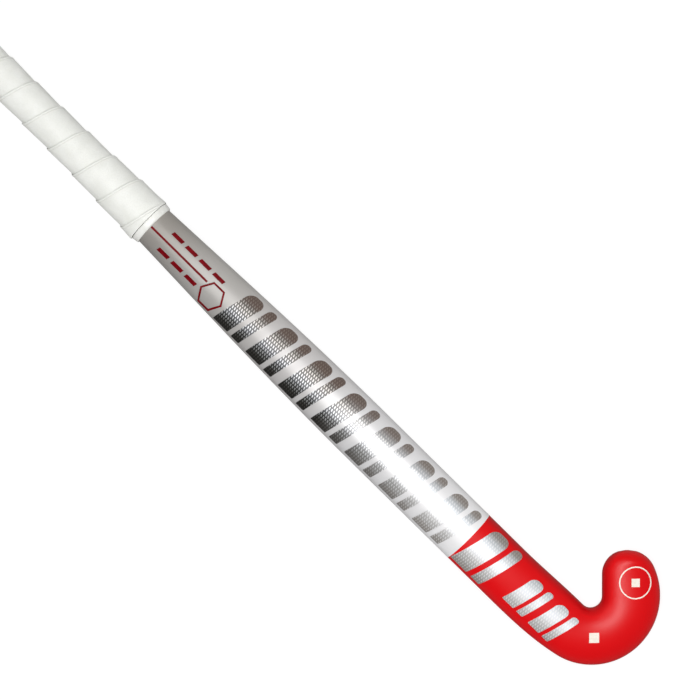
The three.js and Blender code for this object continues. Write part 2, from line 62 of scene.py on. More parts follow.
STICK_LENGTH = 927.0
CAP_HEIGHT = 6.0
SHELL_LENGTH = STICK_LENGTH - CAP_HEIGHT
WALL = 2.7
SHAFT_HALF_WIDTH, SHAFT_THICKNESS, HANDLE_RADIUS = 25.0, 27.0, 14.2
TAPER_END = SHELL_LENGTH - 211.0
TAPER_START = TAPER_END - 420.0
NECK_S, NECK_INNER_Y = 130.0, 26.9
CROTCH_RADIUS, HEAD_WIDTH, HEEL_WIDTH = 9.5, 49.7, 47.5
HOOK_TURN, HEEL_ANGLE = math.radians(135), math.radians(12)
TOE_HEIGHT, TOE_INNER_CORNER, TOE_OUTER_CORNER = 39.0, 20.2, 24.3
HEAD_THICKNESS, TOE_THICKNESS, TOE_END_ROUND = 22.0, 20.0, 11.0
EDGE_HEIGHT, EDGE_ROUND, HANDLE_EDGE_SHARE = 7.5, 6.5, 0.85
LEAST_EDGE, MOST_EDGE_SHARE = 1.0, 0.9    # bounds of the rounded edge's width
BOW, BOW_START, BOW_ARC = 24.0, 110.0, 230.0
HOOK_Y = NECK_INNER_Y + CROTCH_RADIUS
HEAD_RADIUS = CROTCH_RADIUS + HEAD_WIDTH
HEEL_RADIUS = CROTCH_RADIUS + HEEL_WIDTH
FACE_MOUNT_S, FACE_MOUNT_Y = 85.0, 2.0    # where the playing_face mount sits

GRIP_START = SHELL_LENGTH - 373.7
FIT_GAP = 0.3                    # between two pieces that touch
TAPE_WIDTH = 6.0
TAPE_START = GRIP_START - FIT_GAP - TAPE_WIDTH
HEAD_COLOUR_END = 170.0

# Wound grip: a ribbon whose edge towards the butt lies on the turn before it
WRAP_PITCH, WRAP_WIDTH, WRAP_THICKNESS = 30.1, 37.0, 0.7
WRAP_SEAM = 575.9                # a seam's place on the toe-side edge
WRAP_LOW, WRAP_RISE = 0.95, 1.25          # inner face off the shell, and its rise over a turn
WRAP_CROWN = 0.18                # bulge in the middle of a turn
WRAP_BEAD, WRAP_BEAD_AT, WRAP_BEAD_SPREAD = 0.16, 1.3, 0.8    # raised edge beside a seam
WRAP_EDGE_ROUND, WRAP_END_GAP = 0.7, 0.1
WRAP_TIP_LOW, WRAP_TIP_HIGH = 2.0, 3.0    # width of the ribbon where its cut ends begin
WRAP_STEPS = 108                 # sections in each turn
WOUND_RADIUS = 17.0
GRIP_SWELL, GRIP_SWELL_FROM, GRIP_SWELL_TO = 0.55, 28.0, 78.0
GRIP_FLARE, GRIP_LIP = 0.7, 13.0

# Films on the back
FILM_LOW, FILM_HIGH = 0.02, 0.09
FOIL_SLANT = math.tan(math.radians(14))
FOIL_WIDE, FOIL_NARROW, FOIL_SLOT = 0.43, 0.23, 0.115
FOIL_HEEL_EXTRA, FOIL_TOE_SHORT = 0.05, 0.03     # shares of the half width
FOIL_TOE_CORNER, FOIL_CORNER_SHARE, FOIL_HEEL_CORNER = 6.5, 0.42, 0.8
FOIL_TOP = TAPE_START - 95
STRIPE_LENGTH, STRIPE_WIDTH, STRIPE_Y = 66.0, 1.9, -2.0
DASH_SETBACK, DASH_PITCH, DASH_LENGTH, DASH_HEIGHT, DASH_SLANT = 17.0, 16.0, 12.0, 3.4, 0.3
DASH_ROWS = [(7.0, 4), (-10.9, 3)]        # y, count
EMBLEM_SETBACK, EMBLEM_MARGIN, EMBLEM_RADIUS, EMBLEM_WIDTH = 77.0, 1.65, 12.5, 2.0
TOE_MARK_S, TOE_MARK_Y = 42.7, 71.0
TOE_RING_RADIUS, TOE_RING_WIDTH, TOE_DIAMOND_REACH = 14.0, 1.1, 5.0
TIP_MARK_S, TIP_MARK_Y, TIP_DIAMOND_REACH = 35.1, 13.4, 6.0
FOIL_ROWS = [
    # start, pitch, pairs, share of the half width covered
    (FOIL_TOP, (FOIL_TOP - HEAD_COLOUR_END) / 7, 7, 0.86),
    (164.0, 43.3, 1, 0.86),
    (111.0, 30.7, 2, 0.62),
]


# ---- Surface of the stick --------------------------------------------------------

def smooth(x, low, high):
    """0 below low and 1 above high, with a smooth change between them."""
    t = np.clip((x - low) / (high - low), 0, 1)
    return t * t * (3 - 2 * t)


def mix(a, b, t):
    """From a at t = 0 to b at t = 1."""
    return a + (b - a) * t


def handle_share(s):
    """0 on the flat shaft, 1 on the round handle."""
    return smooth(s, TAPER_START, TAPER_END)


def half_width(s):
    """Half the shaft's width at s."""
    return mix(SHAFT_HALF_WIDTH, HANDLE_RADIUS, handle_share(s))


def radial(turn):
    """Unit vector (s, y) out from the hook's centre. Turn 0 points across, to the heel side."""
    return np.stack([-np.sin(turn), -np.cos(turn)], -1)


def on_arc(centre_s, radius, turn):
    """Points (s, y) on an arc round a centre in line with the hook's."""
    centre = np.stack([centre_s + 0 * turn, HOOK_Y + 0 * turn], -1)
    return centre + radial(turn) * np.asarray(radius)[..., None]


def bezier(points, t):
    """Points of a cubic curve through the first and last of four points."""
    a, b, c, d = points
    t = t[..., None]
    return a * (1 - t) ** 3 + 3 * b * t * (1 - t) ** 2 + 3 * c * t ** 2 * (1 - t) + d * t ** 3


def toe_rib(q):
    """Both ends of the ribs over the toe, past the hook's turn, and their depth into it."""
    across = radial(np.array(HOOK_TURN))
    along = np.array([across[1], -across[0]])
    d = TOE_HEIGHT * np.sin((1 - q) * math.pi / 2)
    outer_d = TOE_HEIGHT - TOE_OUTER_CORNER
    outer_e = math.sqrt((HEAD_RADIUS - TOE_OUTER_CORNER) ** 2 - outer_d ** 2)
    tangent_d = outer_d * HEAD_RADIUS / (HEAD_RADIUS - TOE_OUTER_CORNER)
    corner = outer_e + np.sqrt(np.maximum(0, TOE_OUTER_CORNER ** 2 - (d - outer_d) ** 2))
    outer = np.where(d < tangent_d, np.sqrt(np.maximum(0, HEAD_RADIUS ** 2 - d ** 2)), corner)
    past = np.maximum(0, d - (TOE_HEIGHT - TOE_INNER_CORNER))
    inner = CROTCH_RADIUS + TOE_INNER_CORNER - np.sqrt(np.maximum(0, TOE_INNER_CORNER ** 2 - past ** 2))
    base = np.array([HEAD_RADIUS, HOOK_Y]) + d[..., None] * along
    return base + inner[..., None] * across, base + outer[..., None] * across, d


def hook_rib(q):
    """Both ends of the ribs round the hook, for q from 1 to 2."""
    share = 2 - q
    outer_turn = mix(HEEL_ANGLE, HOOK_TURN, share)
    radius = np.where(outer_turn < math.pi / 2, HEEL_RADIUS, HEAD_RADIUS)
    inner = on_arc(HEAD_RADIUS, CROTCH_RADIUS + 0 * q, HOOK_TURN * share)
    return inner, on_arc(radius, radius, outer_turn)


def neck_rib(q):
    """Both ends of the ribs from the hook to the shaft, for q from 2 to 3."""
    starts = [part[0] for part in hook_rib(np.array([2.0]))]
    edge = float(half_width(NECK_S))
    sides = []
    for start, slope, to_y in zip(starts, (0, -math.tan(HEEL_ANGLE)), (edge, -edge)):
        reach = (NECK_S - start[0]) / 3
        sides.append(bezier([
            start,
            start + np.array([reach, slope * reach]),
            np.array([NECK_S - reach, to_y]),
            np.array([NECK_S, to_y]),
        ], q - 2))
    return sides


def rib(q):
    """Both ends of the line across the stick at stations q, and the depth into the toe."""
    toe = toe_rib(np.clip(q, 0, 1))
    hook = hook_rib(np.clip(q, 1, 2))
    neck = neck_rib(np.clip(q, 2, 3))
    s = mix(NECK_S, SHELL_LENGTH, q - 3)
    shaft = [np.stack([s, sign * half_width(s)], -1) for sign in (1, -1)]
    zones = [(q < 1)[..., None], (q < 2)[..., None], (q < 3)[..., None]]
    inner, outer = (
        np.select(zones, [toe[k], hook[k], neck[k]], shaft[k]) for k in (0, 1)
    )
    return inner, outer, np.where(q < 1, toe[2], 0)


def section_size(q, s):
    """Share of the handle's shape, thickness, and height of the widest line."""
    handle = np.where(q < 2, 0, handle_share(s))
    head = mix(TOE_THICKNESS, HEAD_THICKNESS, np.minimum(1, q / 2))
    grown = np.where(q < 2, 0, smooth(s, HEAD_RADIUS, TAPER_START))
    thickness = mix(mix(head, SHAFT_THICKNESS, grown), 2 * HANDLE_RADIUS, handle)
    return handle, thickness, mix(EDGE_HEIGHT, thickness / 2, handle)


def roll_off(depth, length):
    """1 along the stick, falling to 0 over the last stretch of the toe."""
    past = np.clip((depth - (TOE_HEIGHT - length)) / length, 0, 1)
    return np.sqrt(1 - past ** 2)


def section(q, angle, outset):
    """Points (s, y, z) of the skin, and each one's share across its rib."""
    inner, outer, depth = rib(q)
    half = np.linalg.norm(inner - outer, axis=-1) / 2
    middle = (inner + outer) / 2
    across = (inner - outer) / (2 * half)[..., None]
    handle, thickness, widest = section_size(q, middle[..., 0])
    half = half + outset
    rise = (thickness - widest + outset) * roll_off(depth, TOE_END_ROUND)
    drop = (widest + outset) * roll_off(depth, EDGE_ROUND)
    edge = mix(EDGE_ROUND, HANDLE_RADIUS * HANDLE_EDGE_SHARE, handle) + outset
    edge = np.minimum(np.maximum(edge, LEAST_EDGE), MOST_EDGE_SHARE * half)
    side = np.cos(angle)
    back = np.sin(angle) >= -1e-9
    v = np.where(back, half * side, np.sign(side) * (half - edge) + edge * side)
    z = widest + np.where(back, rise, drop) * np.sin(angle)
    place = middle + across * v[..., None]
    return np.concatenate([place, z[..., None]], -1), v / half


def bowed(points):
    """Stick coordinates bent along the bow, with the head towards +X."""
    s, y, z = points[..., 0], points[..., 1], points[..., 2]
    to_corner = BOW_START + BOW_ARC / 2
    depth_per_turn = to_corner * (STICK_LENGTH - to_corner) / STICK_LENGTH - BOW_ARC / 8
    radius = BOW_ARC / (BOW / depth_per_turn)
    turn = np.clip(s - BOW_START, 0, BOW_ARC) / radius
    after = np.maximum(0, s - BOW_START - BOW_ARC)
    along = np.minimum(s, BOW_START) + radius * np.sin(turn) + after * np.cos(turn)
    down = radius * (1 - np.cos(turn)) + after * np.sin(turn)
    return np.stack([-(along + z * np.sin(turn)), y, z * np.cos(turn) - down], -1)


def laid_down():
    """The turn and shift that put the straight face onto the record's playing_face mount."""
    mount = next(m for m in frame["record"]["mounts"] if m["name"] == "playing_face")
    turn = Vector((0, 0, -1)).rotation_difference(Vector(mount["axis"])).to_matrix()
    face = Vector(bowed(np.array([FACE_MOUNT_S, FACE_MOUNT_Y, 0.0])) * MM)
    return np.array(turn), np.array(Vector(mount["pos_m"]) - turn @ face)


LAY_TURN, LAY_SHIFT = laid_down()


def to_row(points):
    """Stick coordinates in millimetres to the row's frame in metres."""
    return bowed(np.asarray(points, float)) * MM @ LAY_TURN.T + LAY_SHIFT


def station(s):
    """The station q of a place s on the shaft."""
    return 3 + (np.asarray(s, float) - NECK_S) / (SHELL_LENGTH - NECK_S)


def cross_ribs(s, y, table, inner, outer):
    """Station and share across its rib of one place on the head, between tabled ribs."""
    across, off = inner - outer, np.array([s, y]) - outer
    side = across[:, 0] * off[:, 1] - across[:, 1] * off[:, 0]
    part = (off * across).sum(1) / (across ** 2).sum(1)
    on_rib = (part[:-1] > -0.01) & (part[:-1] < 1.01)
    k = np.flatnonzero((side[:-1] * side[1:] <= 0) & on_rib)[0]
    t = side[k] / (side[k] - side[k + 1])
    return mix(table[k], table[k + 1], t), 2 * mix(part[k], part[k + 1], t) - 1


def locate(s, y):
    """Station and angle of the back's points above (s, y), for arrays."""
    q = station(s)
    share = y / half_width(s)
    table = np.linspace(0, 3, 601)
    inner, outer, _ = rib(table)
    for index in map(tuple, np.argwhere(s < NECK_S)):
        q[index], share[index] = cross_ribs(s[index], y[index], table, inner, outer)
    return q, np.arccos(np.clip(share, -1, 1))


# ---- Meshes ---------------------------------------------------------------------------

def make_piece(name, points, faces, coords, materials, node, sharp):
    """A piece on the root body that stands for a CAD node. coords become its stick attribute."""
    mesh = bpy.data.meshes.new(name)
    mesh.from_pydata(points.reshape(-1, 3).tolist(), [], faces)
    layer = mesh.attributes.new("stick", "FLOAT_VECTOR", "POINT")
    layer.data.foreach_set("vector", coords.reshape(-1, 3).astype(np.float32).ravel())
    mesh.validate()
    mesh.update()
    for material in materials if isinstance(materials, list) else [materials]:
        mesh.materials.append(material)
    mesh.shade_smooth()
    mesh.set_sharp_from_angle(angle=math.radians(sharp))
    piece = bpy.data.objects.new(name, mesh)
    bpy.context.scene.collection.objects.link(piece)
    fix_outward(mesh)
    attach(piece, "root")
    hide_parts(node)
    return piece


def fix_outward(mesh):
    """Turns the faces over if the closed mesh is inside out."""
    mesh.calc_loop_triangles()
    corners = np.zeros(3 * len(mesh.loop_triangles), np.int32)
    mesh.loop_triangles.foreach_get("vertices", corners)
    place = np.zeros(3 * len(mesh.vertices))
    mesh.vertices.foreach_get("co", place)
    a, b, c = place.reshape(-1, 3)[corners.reshape(-1, 3)].transpose(1, 0, 2)
    if (a * np.cross(b, c)).sum() < 0:
        mesh.flip_normals()


def ring_faces(rings, size, looped):
    """Bands between rings, with an end face on the first and last ring unless looped."""
    faces = []
    for i in range(rings if looped else rings - 1):
        here, there = i * size, (i + 1) % rings * size
        for j in range(size):
            k = (j + 1) % size
            faces.append((here + j, here + k, there + k, there + j))
    if not looped:
        faces.append(tuple(range(size))[::-1])
        faces.append(tuple(range((rings - 1) * size, rings * size)))
    return faces


def stick_coords(points, share):
    """The stick attribute: place along the stick, length round from the crest, share across."""
    s = points[..., 0]
    round_length = np.arcsin(np.clip(share, -1, 1)) * half_width(s)
    return np.stack([s, round_length, share], -1)


def loft(name, q, angles, outset, materials, node, looped=False, sharp=40):
    """Rings of the skin at stations q, each at its own distance outside the shell."""
    q_grid, angle_grid = np.meshgrid(q, angles, indexing="ij")
    outset = np.broadcast_to(np.asarray(outset, float).reshape(-1, 1), q_grid.shape)
    points, share = section(q_grid, angle_grid, outset)
    faces = ring_faces(len(q), len(angles), looped)
    coords = stick_coords(points, share)
    return make_piece(name, to_row(points), faces, coords, materials, node, sharp)


def film_faces(rows, columns, wrapped):
    """Two layers of a grid and the rim between them."""
    count = rows * columns

    def at(i, j):
        return (i % rows) * columns + j

    faces = []
    for i in range(rows if wrapped else rows - 1):
        for j in range(columns - 1):
            quad = (at(i, j), at(i + 1, j), at(i + 1, j + 1), at(i, j + 1))
            faces.append(quad)
            faces.append(tuple(c + count for c in quad[::-1]))
        for j, order in ((0, 1), (columns - 1, -1)):
            side = (at(i + 1, j), at(i, j), at(i, j) + count, at(i + 1, j) + count)
            faces.append(side[::order])
    if not wrapped:
        for i, order in ((0, 1), (rows - 1, -1)):
            for j in range(columns - 1):
                side = (at(i, j), at(i, j + 1), at(i, j + 1) + count, at(i, j) + count)
                faces.append(side[::order])
    return faces


def film(name, s, y, material, node, wrapped=False):
    """A thin film on the back over a grid of places, closed round its first side if wrapped."""
    q, angle = locate(s, y)
    layers, coords = [], []
    for lift in (FILM_LOW, FILM_HIGH):
        points, share = section(q, angle, lift)
        layers.append(to_row(points).reshape(-1, 3))
        coords.append(stick_coords(points, share).reshape(-1, 3))
    faces = film_faces(*s.shape, wrapped)
    return make_piece(name, np.concatenate(layers), faces, np.concatenate(coords),
                      material, node, 30)


# ---- Materials --------------------------------------------------------------------------

def linear(r, g, b):
    """A colour given as 0 to 255 display values."""
    def one(c):
        c = c / 255
        return c / 12.92 if c <= 0.04045 else ((c + 0.055) / 1.055) ** 2.4
    return (one(r), one(g), one(b), 1.0)


class Look:
    """A material's node tree, with short helpers."""

    def __init__(self, name):
        self.material = bpy.data.materials.new(name)
        self.material.use_nodes = True
        self.tree = self.material.node_tree
        self.shader = self.tree.nodes["Principled BSDF"]

    def node(self, kind, **settings):
        node = self.tree.nodes.new(kind)
        for key, value in settings.items():
            setattr(node, key, value)
        return node

    def link(self, source, target):
        self.tree.links.new(source, target)

    def feed(self, socket, value):
        """Links another node's output to the socket, or sets the socket to a fixed value."""
        if isinstance(value, bpy.types.NodeSocket):
            self.link(value, socket)
        else:
            socket.default_value = value

    def set(self, **values):
        """Feeds the shader's inputs, with underscores for the spaces in their names."""
        for key, value in values.items():
            self.feed(self.shader.inputs[key.replace("_", " ")], value)

    def math(self, operation, a, b=0.0, c=0.0):
        node = self.node("ShaderNodeMath", operation=operation)
        for socket, value in zip(node.inputs, (a, b, c)):
            self.feed(socket, value)
        return node.outputs[0]

    def ramp(self, value, stops):
        """A colour ramp. stops are (place, colour or grey)."""
        node = self.node("ShaderNodeValToRGB")
        node.color_ramp.interpolation = "EASE"
        elements = node.color_ramp.elements
        while len(elements) < len(stops):
            elements.new(0.5)
        for element, (place, colour) in zip(elements, stops):
            element.position = place
            element.color = colour if isinstance(colour, tuple) else (colour,) * 3 + (1.0,)
        self.link(value, node.inputs["Fac"])
        return node.outputs["Color"]

    def blend(self, share, a, b, mode="MIX"):
        node = self.node("ShaderNodeMix", data_type="RGBA", blend_type=mode)
        self.feed(node.inputs["Factor"], share)
        self.feed(node.inputs["A"], a)
        self.feed(node.inputs["B"], b)
        return node.outputs["Result"]

    def place(self):
        """The stick attribute's three values: along, round and share."""
        attribute = self.node("ShaderNodeAttribute", attribute_name="stick")
        parts = self.node("ShaderNodeSeparateXYZ")
        self.link(attribute.outputs["Vector"], parts.inputs[0])
        return parts.outputs[0], parts.outputs[1], parts.outputs[2]

    def span(self, value, low, high):
        """0 at low, 1 at high."""
        node = self.node("ShaderNodeMapRange")
        for key, number in (("Value", value), ("From Min", low), ("From Max", high)):
            self.feed(node.inputs[key], number)
        return node.outputs["Result"]

    def texture(self, kind, output, **inputs):
        """A texture over the object's own coordinates, in metres."""
        node = self.node(kind)
        for key, value in inputs.items():
            node.inputs[key].default_value = value
        self.link(self.node("ShaderNodeTexCoord").outputs["Object"], node.inputs["Vector"])
        return node.outputs[output]

    def noise(self, scale, detail=3.0, rough=0.55, distortion=0.0):
        return self.texture("ShaderNodeTexNoise", "Fac", Scale=scale, Detail=detail,
                            Roughness=rough, Distortion=distortion)

    def cells(self, scale):
        return self.texture("ShaderNodeTexVoronoi", "Distance", Scale=scale)

    def bump(self, height, distance, strength=1.0, normal=None):
        node = self.node("ShaderNodeBump")
        node.inputs["Strength"].default_value = strength
        node.inputs["Distance"].default_value = distance
        self.link(height, node.inputs["Height"])
        if normal is not None:
            self.link(normal, node.inputs["Normal"])
        return node.outputs["Normal"]


def lacquer(look, colour, metallic, roughness, specular, coat):
    """Fine flake, slow changes of gloss and orange peel over a base colour."""
    flake = look.math("MULTIPLY", look.noise(2600.0, 1.0), 0.16)
    colour = look.blend(flake, colour, (1, 1, 1, 1), "SOFT_LIGHT")
    cloud = look.span(look.noise(9.0, 2.0), -2.2, 3.2)
    rough = look.math("MULTIPLY_ADD", cloud, 0.16, roughness - 0.08)
    peel = look.bump(look.noise(230.0, 2.0), 0.00004, 0.35)
    look.set(Base_Color=colour, Roughness=rough, Metallic=metallic, Normal=peel)
    look.set(Specular_IOR_Level=specular, Coat_Weight=coat, Coat_Roughness=0.2)
    return look.material


def silver_lacquer():
    """Pearl white above the head, going to warm grey at the grip, partly a paint fade and partly
    painted shade; darker beside the heel, which is painted shade.
    """
    look = Look("silver_lacquer")
    along, _, share = look.place()
    # the fade along the stick is partly the paint's own and partly painted shade, darker towards the
    # grip
    colour = look.ramp(look.span(along, HEAD_COLOUR_END, TAPE_START), [
        (0.0, linear(242, 241, 242)),
        (0.3, linear(226, 225, 226)),
        (0.57, linear(204, 201, 200)),
        (0.8, linear(181, 178, 174)),
        (1.0, linear(156, 151, 145)),
    ])
    # painted shade: the back is darkened beside the heel, between 180 and 400 mm up the stick
    painted_heel_shade = look.math("MULTIPLY", look.span(share, 0.4, -0.9), look.span(along, 180.0, 400.0))
    painted_heel_shade = look.math("MULTIPLY", painted_heel_shade, 0.34)
    colour = look.blend(painted_heel_shade, colour, (0.25, 0.24, 0.23, 1))
    return lacquer(look, colour, metallic=0.15, roughness=0.36, specular=0.4, coat=0.15)


def red_lacquer():
    """Red, darkened by painted shade towards the edge on the toe side, which is the inside of the hook.
    """
    look = Look("red_lacquer")
    _, _, share = look.place()
    # painted shade: darker red along the toe-side edge and the inside of the hook
    rim = look.math("MULTIPLY", look.span(share, 0.72, 1.0), 0.5)
    colour = look.blend(rim, linear(218, 0, 7), linear(112, 0, 6))
    return lacquer(look, colour, metallic=0.0, roughness=0.34, specular=0.31, coat=0.0)


# Tones of the foil from its heel side, 0, to its toe side, 1: the ground and the dashes on it. Besides
# the foil's own silver, the tones are painted reflection: near black beside the heel, brown-grey on the
# toe side, and a bright painted highlight in the middle on the head.
FOIL_GROUND_WITH_PAINTED_REFLECTION_AT_GRIP = [
    (0.03, linear(38, 36, 32)), (0.12, linear(42, 40, 36)), (0.22, linear(56, 55, 53)),
    (0.34, linear(90, 91, 94)), (0.62, linear(98, 94, 90)), (0.8, linear(112, 96, 88)),
    (0.97, linear(120, 105, 96)),
]
FOIL_GROUND_WITH_PAINTED_REFLECTION_ON_HEAD = [
    (0.03, linear(166, 160, 155)), (0.1, linear(180, 174, 169)), (0.2, linear(210, 208, 206)),
    (0.5, linear(238, 240, 244)), (0.72, linear(206, 210, 214)), (0.85, linear(158, 150, 144)),
    (0.97, linear(164, 158, 152)),
]
FOIL_DASHES_WITH_PAINTED_REFLECTION_AT_GRIP = [
    (0.03, linear(50, 48, 44)), (0.13, linear(84, 82, 78)), (0.23, linear(186, 188, 188)),
    (0.34, linear(214, 216, 219)), (0.62, linear(196, 191, 187)), (0.8, linear(142, 128, 120)),
    (0.97, linear(124, 110, 101)),
]
FOIL_DASHES_WITH_PAINTED_REFLECTION_ON_HEAD = [
    (0.03, linear(190, 186, 183)), (0.1, linear(232, 230, 227)), (0.2, linear(248, 248, 248)),
    (0.5, linear(250, 250, 250)), (0.72, linear(232, 233, 235)), (0.85, linear(188, 182, 178)),
    (0.97, linear(172, 166, 160)),
]
# the painted reflection goes from dark at the grip end to the painted highlight on the head between
# these two places
FOIL_PAINTED_DARK_END, FOIL_PAINTED_HIGHLIGHT_START = 330.0, 205.0    # where the tones change along the stick
WEAVE_PITCH, WEAVE_ROW, WEAVE_GAP = 2.4, 4.5, 0.94
WEAVE_STRETCH, WEAVE_LEAN = 1.32, -0.27


def weave_dashes(look, along, around_crest):
    """1 on short slanted dashes in staggered rows, and 0 between them."""
    place = look.node("ShaderNodeCombineXYZ")
    look.link(look.math("MULTIPLY_ADD", around_crest, WEAVE_LEAN, along), place.inputs[0])
    look.link(look.math("MULTIPLY", around_crest, WEAVE_STRETCH), place.inputs[1])
    weave = look.node("ShaderNodeTexBrick", offset=0.5)
    for key, value in (("Scale", 1.0), ("Mortar Size", WEAVE_GAP), ("Mortar Smooth", 0.45),
                       ("Brick Width", WEAVE_PITCH), ("Row Height", WEAVE_ROW)):
        weave.inputs[key].default_value = value
    look.link(place.outputs[0], weave.inputs["Vector"])
    return look.math("SUBTRACT", 1.0, weave.outputs["Fac"])


def woven_foil():
    """Silver foil with a weave of short dashes, with painted reflection: near black beside the heel,
    and a pale painted highlight on the head.
    """
    look = Look("woven_foil")
    along, around_crest, share = look.place()
    side = look.span(share, -1.0, 1.0)
    # painted highlight: share of the pale head tones, from the grip end towards the head
    pale = look.span(along, FOIL_PAINTED_DARK_END, FOIL_PAINTED_HIGHLIGHT_START)
    dash = weave_dashes(look, along, around_crest)
    # the ground and dash colours carry painted reflection across the back
    ground = look.blend(pale, look.ramp(side, FOIL_GROUND_WITH_PAINTED_REFLECTION_AT_GRIP), look.ramp(side, FOIL_GROUND_WITH_PAINTED_REFLECTION_ON_HEAD))
    bright = look.blend(pale, look.ramp(side, FOIL_DASHES_WITH_PAINTED_REFLECTION_AT_GRIP), look.ramp(side, FOIL_DASHES_WITH_PAINTED_REFLECTION_ON_HEAD))
    rough = look.math("MULTIPLY_ADD", dash, -0.08, 0.38)
    raised = look.bump(dash, 0.00012, 0.4)
    look.set(Base_Color=look.blend(dash, ground, bright), Metallic=0.45, Roughness=rough)
    look.set(Normal=raised, Coat_Weight=0.35, Coat_Roughness=0.14)
    return look.material


def ink(name, deep, light):
    """Matt printed ink, a little uneven."""
    look = Look(name)
    cloud = look.noise(420.0, 3.0)
    colour = look.blend(look.span(cloud, 0.3, 0.7), deep, light)
    rough = look.span(look.noise(800.0, 2.0), -1.0, 3.0)
    look.set(Base_Color=colour, Roughness=rough)
    look.set(Normal=look.bump(cloud, 0.00002, 0.4), Specular_IOR_Level=0.12)
    return look.material


def grip_leather():
    """White polyurethane tape with a fine grain, pores, soft creases and a groove line near the edge,
    darkened with painted shade.
    """
    look = Look("grip_polyurethane")
    _, _, from_edge = look.place()
    groove_and_painted_shade_line = look.ramp(look.span(from_edge, 0.0, 0.15), [(0.32, 0.0), (0.42, 1.0), (0.52, 0.0)])
    grain = look.cells(1900.0)
    pores = look.noise(1300.0, 2.0)
    crease = look.noise(55.0, 3.0, 0.5, distortion=0.6)
    colour = look.blend(look.span(crease, 0.35, 0.75), linear(238, 239, 233), linear(248, 249, 244))
    pore_depth = look.math("MULTIPLY", look.span(pores, 0.45, 0.75), 0.26)
    colour = look.blend(pore_depth, colour, linear(204, 204, 196))
    # painted shade: the tape is darkened along the groove line
    colour = look.blend(look.math("MULTIPLY", groove_and_painted_shade_line, 0.3), colour, linear(206, 206, 196))
    fine = look.bump(grain, 0.00008, 0.5)
    lined = look.bump(look.math("SUBTRACT", 1.0, groove_and_painted_shade_line), 0.0003, 0.6, fine)
    creased = look.bump(crease, 0.0006, 0.35, lined)
    rough = look.math("MULTIPLY_ADD", pores, 0.2, 0.42)
    look.set(Base_Color=colour, Roughness=rough, Normal=creased)
    look.set(Subsurface_Weight=0.08, Subsurface_Radius=(0.002, 0.002, 0.0018), Subsurface_Scale=0.5)
    return look.material


def tape_film():
    """White glossy tape with slow ripples."""
    look = Look("finishing_tape_film")
    ripple = look.noise(260.0, 2.0)
    colour = look.blend(look.span(ripple, 0.3, 0.7), linear(232, 232, 226), linear(244, 244, 240))
    look.set(Base_Color=colour, Roughness=look.span(ripple, -1.5, 3.0))
    look.set(Normal=look.bump(ripple, 0.0001, 0.3), Coat_Weight=0.3, Coat_Roughness=0.2)
    return look.material


def rubber(name, dark, light):
    """Moulded rubber with a fine speckle."""
    look = Look(name)
    speckle = look.noise(900.0, 4.0)
    colour = look.blend(speckle, dark, light)
    look.set(Base_Color=colour, Roughness=look.span(speckle, -1.2, 1.6))
    look.set(Normal=look.bump(speckle, 0.00005, 0.5))
    return look.material


def foam(name, dark, light):
    """Rigid or soft foam with open cells."""
    look = Look(name)
    cell = look.cells(700.0)
    colour = look.blend(cell, dark, light)
    look.set(Base_Color=colour, Roughness=look.span(cell, -3.0, 1.2))
    look.set(Normal=look.bump(cell, 0.0004, 0.8))
    return look.material


def cloth_in_resin(name, dark, light):
    """Plain weave of carbon or aramid under resin."""
    look = Look(name)
    weave = look.texture("ShaderNodeTexChecker", "Fac", Scale=420.0)
    rough = look.math("MULTIPLY_ADD", weave, 0.15, 0.35)
    look.set(Base_Color=look.blend(weave, dark, light), Roughness=rough)
    look.set(Normal=look.bump(weave, 0.0001, 0.4), Coat_Weight=0.3, Coat_Roughness=0.2)
    return look.material


# ---- Pieces -------------------------------------------------------------------------------

SILVER, RED = silver_lacquer(), red_lacquer()
FOIL = woven_foil()
RED_INK = ink("red_ink", linear(98, 0, 9), linear(126, 3, 18))
CREAM_INK = ink("cream_ink", linear(240, 228, 214), linear(252, 244, 234))


def around(back_steps, edge_steps):
    """Angles round a section, without the flat face."""
    degrees = np.concatenate([
        np.linspace(-90, 0, edge_steps, endpoint=False),
        np.linspace(0, 180, back_steps, endpoint=False),
        np.linspace(180, 270, edge_steps + 1),
    ])
    return np.radians(degrees)


def stick_shell():
    """The laminate: outer skin, and the inner wall down from the open butt end."""
    colour_end = station(HEAD_COLOUR_END)
    toe = 1 - np.degrees(np.arcsin(np.linspace(0.9996, 0, 34))) / 90
    hook = np.linspace(1, 2, 64)[1:]
    neck = np.linspace(2, 3, 30)[1:]
    below = np.linspace(3, colour_end, 10)[1:]
    above = np.linspace(colour_end, 4, 150)[1:]
    skin = np.concatenate([toe, hook, neck, below, above])
    wall = np.linspace(4, colour_end, 40)
    outset = np.concatenate([0 * skin, 0 * wall - WALL])
    shell = loft("stick_shell", np.concatenate([skin, wall]), around(72, 14), outset,
                 [RED, SILVER], "laminate_shell").data
    places = shell.attributes["stick"].data
    along = [np.mean([places[v].vector[0] for v in face.vertices]) for face in shell.polygons]
    silver = np.array(along) > HEAD_COLOUR_END
    shell.polygons.foreach_set("material_index", silver.astype(np.int32))


def grip_base(s):
    """How far the winding stands out at s, apart from the ribbon's own rise."""
    above = s - GRIP_START
    swell = GRIP_SWELL * (1 - smooth(above, GRIP_SWELL_FROM, GRIP_SWELL_TO))
    return swell + GRIP_FLARE * (1 - smooth(above, 0, GRIP_LIP))


def wrap_turns():
    """Angles of the ribbon's sections, from the tape up to the open end."""
    low = GRIP_START + WRAP_TIP_LOW - WRAP_SEAM
    high = SHELL_LENGTH + WRAP_WIDTH - WRAP_TIP_HIGH - WRAP_SEAM
    first, last = (2 * math.pi * end / WRAP_PITCH for end in (low, high))
    return np.linspace(first, last, int((last - first) / (2 * math.pi) * WRAP_STEPS))


